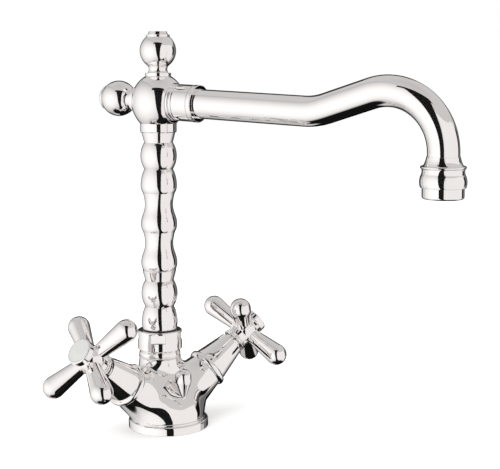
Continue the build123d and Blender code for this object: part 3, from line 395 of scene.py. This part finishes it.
# %% Axes
ARM_RISE, ARM_SWEEP = radians(36.6), radians(8.3)
ARM_CROSSING = Vector((0, 5.6, 7.75)) * MM
AXES = {
    "upright": Vector((0, 0, 1)),
    "hot": Vector((-cos(ARM_RISE) * cos(ARM_SWEEP), -cos(ARM_RISE) * sin(ARM_SWEEP), sin(ARM_RISE))),
    "cold": Vector((cos(ARM_RISE) * cos(ARM_SWEEP), -cos(ARM_RISE) * sin(ARM_SWEEP), sin(ARM_RISE))),
}
SIDES = ("hot", "cold")

# %% Turned finishes
def turned(name, axis, shades, metallic, roughness, ring=0.5, depth=0.01, stain=8.0, plated_from=None):
    """A lathe-turned finish: rings round the axis, and two shades that drift over the surface.

    A valve's neck shows between its cover and its handle, so it is plated from a station along the arm.
    """
    material, tree, shader, place = finish(f"{name}_{axis}")
    station = add(tree, "ShaderNodeVectorMath", "DOT_PRODUCT", place, AXES[axis])
    rings = add(tree, NOISE, {"noise_dimensions": "1D"}, W=station, Scale=per(ring), Detail=2.0)
    drift = add(tree, NOISE, Vector=place, Scale=per(stain), Detail=3.0)
    blend = add(tree, MATH, "MULTIPLY_ADD", rings, 0.35, add(tree, MATH, "MULTIPLY", drift, 0.65))
    tone = add(tree, MIX, COLOURS, Factor=blend, A=colour(shades[0]), B=colour(shades[1]))
    rough = add(tree, RANGE, None, blend, From_Min=0.3, From_Max=0.7, To_Min=roughness * 0.8,
                To_Max=roughness * 1.25)
    if plated_from is not None:
        neck = add(tree, MATH, "GREATER_THAN", station, plated_from)
        tone = add(tree, MIX, COLOURS, Factor=neck, A=tone, B=colour(CHROME[0]))
        smooth = add(tree, RANGE, None, neck, To_Min=1.0, To_Max=0.15)
        rough = add(tree, MATH, "MULTIPLY", rough, smooth)
    bump = add(tree, BUMP, Strength=0.5, Distance=depth * MM, Height=rings)
    feed(tree, shader, Metallic=metallic, Base_Color=tone, Roughness=rough, Normal=bump)
    return material


# %% [markdown]
# ## Rubber, ceramic and porcelain
# Rubber is matt black with a grey bloom and a fine grain from its mould. The valve discs are lapped
# alumina, ivory white and half glossy, with tiny pits. The index disc in the handle's button is glazed
# porcelain: a clear glaze over pale grey, which pools a little unevenly.

# %% Moulded and fired finishes
def moulded_rubber():
    material, tree, shader, place = finish("moulded_black_rubber")
    bloom = add(tree, NOISE, Vector=place, Scale=per(5.0), Detail=4.0)
    tone = add(tree, MIX, COLOURS, Factor=bloom, A=colour("#121212"), B=colour("#2c2c2b"))
    grain = add(tree, CELLS, Vector=place, Scale=per(0.6))
    bump = add(tree, BUMP, Strength=0.5, Distance=0.03 * MM, Height=grain)
    feed(tree, shader, Base_Color=tone, Roughness=0.78, Normal=bump)
    return material


def lapped_alumina():
    material, tree, shader, place = finish("lapped_alumina")
    cloud = add(tree, NOISE, Vector=place, Scale=per(3.0), Detail=5.0)
    tone = add(tree, MIX, COLOURS, Factor=cloud, A=colour("#e3dfd2"), B=colour("#f2efe6"))
    pits = add(tree, NOISE, Vector=place, Scale=per(0.4), Detail=2.0)
    rough = add(tree, RANGE, None, pits, From_Min=0.4, From_Max=0.7, To_Min=0.16, To_Max=0.34)
    bump = add(tree, BUMP, Strength=0.3, Distance=0.01 * MM, Height=pits)
    feed(tree, shader, Base_Color=tone, Roughness=rough, IOR=1.76, Normal=bump)
    return material


def glazed_porcelain():
    material, tree, shader, place = finish("glazed_grey_porcelain")
    pool = add(tree, NOISE, Vector=place, Scale=per(4.5), Detail=2.0)
    specks = add(tree, CELLS, Vector=place, Scale=per(0.9))
    speck = add(tree, RANGE, None, specks, From_Min=0.12, From_Max=0.02)
    glaze = add(tree, MIX, COLOURS, Factor=pool, A=colour("#b6b7b5"), B=colour("#c6c7c4"))
    tone = add(tree, MIX, COLOURS, Factor=add(tree, MATH, "MULTIPLY", speck, 0.35), A=glaze,
               B=colour("#7c7c7a"))
    bump = add(tree, BUMP, Strength=0.4, Distance=0.02 * MM, Height=pool)
    feed(tree, shader, Base_Color=tone, Roughness=0.35, Coat_Weight=1.0, Coat_Roughness=0.04,
         Coat_Normal=bump)
    return material


# %% [markdown]
# ## Dressing the solids
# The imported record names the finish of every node. The nodes keep their own meshes, which are the real
# shapes, and only their material slot is filled.

# %% Dress the nodes
BRASS = ("#b98d4a", "#d8b473")
STEEL = ("#8d8e8e", "#b4b5b4")
DARK_ACETAL = ("#151617", "#232426")
WHITE_ACETAL = ("#dcdad1", "#efede6")
COVER_END = 62 * MM            # along the arm, a little inside the cover's mouth
finishes = {"polished_chrome": mirror_chrome(), "black_rubber": moulded_rubber(),
            "valve_ceramic": lapped_alumina(), "index_enamel": glazed_porcelain()}
for axis in AXES:
    neck = COVER_END + ARM_CROSSING.dot(AXES[axis]) if axis in SIDES else None
    finishes["bare_brass", axis] = turned("bare_turned_brass", axis, BRASS, 1.0, 0.27, plated_from=neck)
    finishes["plain_steel", axis] = turned("turned_stainless_steel", axis, STEEL, 1.0, 0.32)
    finishes["dark_acetal", axis] = turned("dark_turned_acetal", axis, DARK_ACETAL, 0.0, 0.42, 0.4, 0.02)
    finishes["white_acetal", axis] = turned("white_moulded_acetal", axis, WHITE_ACETAL, 0.0, 0.4, 1.2, 0.01)

dressed = {}
for part in frame["record"]["subparts"]:
    name, slot = part["node"], part["material_slot"]
    side = name.split("_")[0]
    axis = side if side in SIDES else "upright"
    material = finishes.get(slot) or finishes[slot, axis]
    nodes[name].data.materials.clear()
    nodes[name].data.materials.append(material)
    dressed.setdefault(material.name, []).append(name)
for material_name, names in dressed.items():
    print(material_name, len(names))

# %% [markdown]
# ## The cast body
# The body is one sand casting: the arms grow out of the foot and the riser with wide soft blends, which a
# polisher's wheel makes softer still. The solid has the right sizes but narrow fillets. A copy of it is
# merged and cut into small triangles, and each point of its skin slides to where a smooth minimum of
# three distances is zero: to the foot and riser, and to each arm. Rims, bores and the bud stay. Sculpting
# it by hand would lose the sizes, and a remesh would lose the rims.

# %% Skin formulas
# the foot and riser: height, shift back and radius, in mm
FOOT_LINE = ((6.5, 0.0, 24.1), (12.0, 0.3, 23.9), (20.5, 2.1, 21.2), (28.5, 6.1, 17.2), (38.0, 9.3, 14.8),
             (50.0, 9.3, 13.8))
ARM_R, ARM_ROOT, ARM_MOUTH = 13.35, 12.0, 40.9      # radius, and stations along the arm, in mm
BLEND, SHARP = 13.0, 0.5                # widths of the blend: the casting's, and the solid's


def from_arm(points, side):
    """The stations of points along an arm, and their offsets from its axis, all in mm."""
    axis = np.array(AXES[side])
    away = points - np.array(ARM_CROSSING) / MM
    station = away @ axis
    return station, away - station[:, None] * axis


def through(table, column, heights):
    """A smooth line through the table's heights, as cubic pieces with shared slopes."""
    knots = np.array([row[0] for row in table])
    values = np.array([row[column] for row in table])
    slopes = np.gradient(values, knots)
    slopes[0] = slopes[-1] = 0.0
    k = np.clip(np.searchsorted(knots, heights) - 1, 0, len(knots) - 2)
    span = knots[k + 1] - knots[k]
    t = np.clip((heights - knots[k]) / span, 0, 1)
    return (values[k] * (2 * t ** 3 - 3 * t ** 2 + 1) + slopes[k] * span * (t ** 3 - 2 * t ** 2 + t)
            + values[k + 1] * (3 * t ** 2 - 2 * t ** 3) + slopes[k + 1] * span * (t ** 3 - t ** 2))


def blended(first, second, width):
    """The smaller of two distances, with the corner between them filled over a width."""
    near = np.clip(1 - np.abs(first - second) / width, 0, 1)
    return np.minimum(first, second) - near ** 2 * width / 4


def skin_distance(points, width):
    """How far points (mm) are outside the casting's skin."""
    heights = points[:, 2]
    back, radius = through(FOOT_LINE, 1, heights), through(FOOT_LINE, 2, heights)
    skin = np.hypot(points[:, 0], points[:, 1] - back) - radius
    for side in SIDES:
        station, offset = from_arm(points, side)
        arm = np.hypot(np.linalg.norm(offset, axis=1), np.minimum(station - ARM_ROOT, 0)) - ARM_R
        skin = blended(skin, arm, width)
    return skin


def skin_slope(points, width):
    """The direction in which the skin distance grows, and how fast."""
    step = 0.02
    return np.stack([(skin_distance(points + move, width) - skin_distance(points - move, width)) / (2 * step)
                     for move in np.eye(3) * step], axis=1)


# %% Which points move
SKIN_FOOT, CASTING_TOP = 6.55, 46.5     # the rim under and the riser over these heights stay, in mm
BUD_Y = -17.0
BUD_HEIGHTS, BUD_RADII = (18.0, 33.5, 38.2, 40.9, 41.8), (0.0, 5.6, 5.6, 3.6, 0.0)


def on_skin(points):
    """Which points lie on the part of the skin that is blended."""
    solid = skin_distance(points, SHARP)
    height = points[:, 2]
    bud_r = np.interp(height, BUD_HEIGHTS, BUD_RADII)
    on_bud = np.abs(np.hypot(points[:, 0], points[:, 1] - BUD_Y) - bud_r) < 0.25
    moves = (solid > -0.6) & (height > SKIN_FOOT) & (height < CASTING_TOP)
    moves &= (skin_distance(points, BLEND) < 0) | ((solid < 3.4) & ~(on_bud & (solid > 0.1)))
    for side in SIDES:
        moves &= from_arm(points, side)[0] < ARM_MOUTH
    return moves


# %% Body mesh
LONGEST_EDGE = 1.5                      # in mm


def halve_long_edges(mesh, rounds=7):
    """Cuts the skin's edges in half until none is longer than the longest that is allowed."""
    for _ in range(rounds):
        mesh.verts.index_update()
        mesh.edges.ensure_lookup_table()
        points = np.array([vert.co for vert in mesh.verts]) / MM
        ends = np.array([(edge.verts[0].index, edge.verts[1].index) for edge in mesh.edges])
        first, second = points[ends[:, 0]], points[ends[:, 1]]
        long = np.linalg.norm(first - second, axis=1) > LONGEST_EDGE
        long &= on_skin((first + second) / 2) & on_skin(first) & on_skin(second)
        edges = [mesh.edges[k] for k in np.flatnonzero(long)]
        print("edges to halve", len(edges))
        if not edges:
            return
        bmesh.ops.subdivide_edges(mesh, edges=edges, cuts=1)
        bmesh.ops.triangulate(mesh, faces=[face for face in mesh.faces if len(face.verts) > 3])


def slide_to_skin(points):
    """Slides points along the skin's slope until they lie on it, at most 1.5 mm at a time."""
    for _ in range(5):
        slope = skin_slope(points, BLEND)
        step = skin_distance(points, BLEND) / np.maximum((slope ** 2).sum(1), 1e-6)
        points = points - slope * np.clip(step, -1.5, 1.5)[:, None]
    return points


def build_body():
    mesh = bmesh.new()
    mesh.from_mesh(nodes["mixer_body"].data)
    bmesh.ops.remove_doubles(mesh, verts=mesh.verts, dist=0.002 * MM)
    halve_long_edges(mesh)
    points = np.array([vert.co for vert in mesh.verts]) / MM
    skin = on_skin(points)
    moved = slide_to_skin(points[skin])
    print("skin points", int(skin.sum()), "largest move", round(np.abs(moved - points[skin]).max(), 2))
    points[skin] = moved
    for vert, point in zip(mesh.verts, points):
        vert.co = Vector(point) * MM
    data = bpy.data.meshes.new("cast_body")
    mesh.to_mesh(data)
    mesh.free()
    # shade the skin by its formula, and the rest by its faces
    data.shade_smooth()
    data.set_sharp_from_angle(angle=radians(24))
    normals = [Vector(corner.vector) for corner in data.corner_normals]
    smooth = skin_slope(points, BLEND)
    smooth /= np.maximum(np.linalg.norm(smooth, axis=1), 1e-6)[:, None]
    for loop in data.loops:
        at = loop.vertex_index
        if skin[at] and normals[loop.index].dot(Vector(smooth[at])) > 0.85:
            normals[loop.index] = Vector(smooth[at])
    data.normals_split_custom_set(normals)
    data.materials.append(finishes["polished_chrome"])
    print("cast_body triangles", len(data.polygons))
    return link("cast_body", data)


cast_body = build_body()
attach(cast_body, "body")
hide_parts("mixer_body")

# %% [markdown]
# ## Rims of the bell covers
# Each cover is spun brass with a rim rolled at its foot: a bold bead, with the cone starting a step
# inside it. In the solid the rim is a low band. A copy of each cover has the rim pushed out and the foot
# of its cone drawn in.

# %% Cover meshes
RIM_START, RIM_END = 41.0, 45.4         # stations along the arm, in mm
RIM_SWELL, CONE_DIP = 0.55, 0.25        # how far the rim comes out and the cone goes in, in mm
RIM_INSIDE = ARM_R - 1.0                # points nearer to the axis stay


def build_cover(side):
    data = nodes[f"{side}_bell_cover"].data.copy()
    points = np.array([vert.co for vert in data.vertices]) / MM
    station, offset = from_arm(points, side)
    radial = np.linalg.norm(offset, axis=1)
    middle, half = (RIM_START + RIM_END) / 2, (RIM_END - RIM_START) / 2
    rim = np.sqrt(np.clip(1 - ((station - middle) / half) ** 2, 0, 1))
    dip = (np.abs(station - RIM_END) < 0.2) & (radial < ARM_R)
    move = np.where(radial > RIM_INSIDE, rim * RIM_SWELL - dip * CONE_DIP, 0.0)
    points += offset / np.maximum(radial, 0.01)[:, None] * move[:, None]
    for vert, point in zip(data.vertices, points):
        vert.co = Vector(point) * MM
    print(side, "cover", round(station.min(), 2), "to", round(station.max(), 2), "radius",
          round((radial + move).max(), 2))
    return link(f"{side}_rolled_cover", data)


for side in SIDES:
    cover = build_cover(side)
    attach(cover, "body")
    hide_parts(f"{side}_bell_cover")

# %% [markdown]
# ## Threads in the brass block
# The hoses and the fixing stud screw into the brass block from below. The solids have plain holes at the
# thread's core; here each hole gets its thread as one helix. A thread is a ridge that follows a path, so
# Geometry Nodes draw it: a spiral, a three-sided ridge swept along it, and a move to the hole's place.

# %% Thread tree
def build_thread_tree(material):
    tree = bpy.data.node_groups.new("thread_ridge", "GeometryNodeTree")
    for name, kind in (("Core Radius", "NodeSocketFloat"), ("Pitch", "NodeSocketFloat"),
                       ("Depth", "NodeSocketFloat"), ("Ridge", "NodeSocketFloat"),
                       ("Place", "NodeSocketVector")):
        tree.interface.new_socket(name, in_out="INPUT", socket_type=kind)
    tree.interface.new_socket("Geometry", in_out="OUTPUT", socket_type="NodeSocketGeometry")
    given = add(tree, "NodeGroupInput").outputs
    turns = add(tree, MATH, "DIVIDE", given["Depth"], given["Pitch"])
    line = add(tree, "GeometryNodeCurveSpiral", Resolution=48, Rotations=turns,
               Start_Radius=given["Core Radius"], End_Radius=given["Core Radius"], Height=given["Depth"])
    ridge = add(tree, "GeometryNodeCurvePrimitiveCircle", Resolution=3, Radius=given["Ridge"])
    swept = add(tree, "GeometryNodeCurveToMesh", Curve=line, Profile_Curve=ridge, Fill_Caps=True)
    placed = add(tree, "GeometryNodeTransform", Geometry=swept, Translation=given["Place"])
    real = add(tree, "GeometryNodeRealizeInstances", Geometry=placed)
    named = add(tree, "GeometryNodeSetMaterial", Geometry=real, Material=material)
    add(tree, "NodeGroupOutput", None, named)
    return tree


# %% Bake helper
def bake(name, tree, **values):
    """Runs a tree on an empty object and keeps the result as a plain mesh object."""
    carrier = link(name + "_carrier", bpy.data.meshes.new(name + "_carrier"))
    modifier = carrier.modifiers.new("nodes", "NODES")
    modifier.node_group = tree
    inputs = {item.name: item.identifier for item in tree.interface.items_tree
              if item.item_type == "SOCKET" and item.in_out == "INPUT"}
    for label, value in values.items():
        modifier[inputs[label.replace("_", " ")]] = value
    ready = carrier.evaluated_get(bpy.context.evaluated_depsgraph_get())
    mesh = bpy.data.meshes.new_from_object(ready)
    mesh.name = name
    bpy.data.objects.remove(carrier)
    print(name, "faces", len(mesh.polygons))
    return link(name, mesh)


# %% Threads
HOLES = {"hot_hose_thread": (-8.6, 4.0, 4.5, 1.0, 10.5), "cold_hose_thread": (8.6, 4.0, 4.5, 1.0, 10.5),
         "stud_thread": (0.0, -11.0, 3.4, 1.25, 8.8)}       # x, y, core radius, pitch, threaded depth
# the ridge's radius, how far its middle stands proud of the wall, and the height of its lowest turn, in mm
RIDGE, PROUD, THREAD_FOOT = 0.3, 0.1, 0.7
thread_tree = build_thread_tree(finishes["bare_brass", "upright"])
for name, (x, y, radius, pitch, depth) in HOLES.items():
    thread = bake(name, thread_tree, Core_Radius=(radius - PROUD) * MM, Pitch=pitch * MM, Depth=depth * MM,
                  Ridge=RIDGE * MM, Place=Vector((x, y, THREAD_FOOT)) * MM)
    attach(thread, "body")
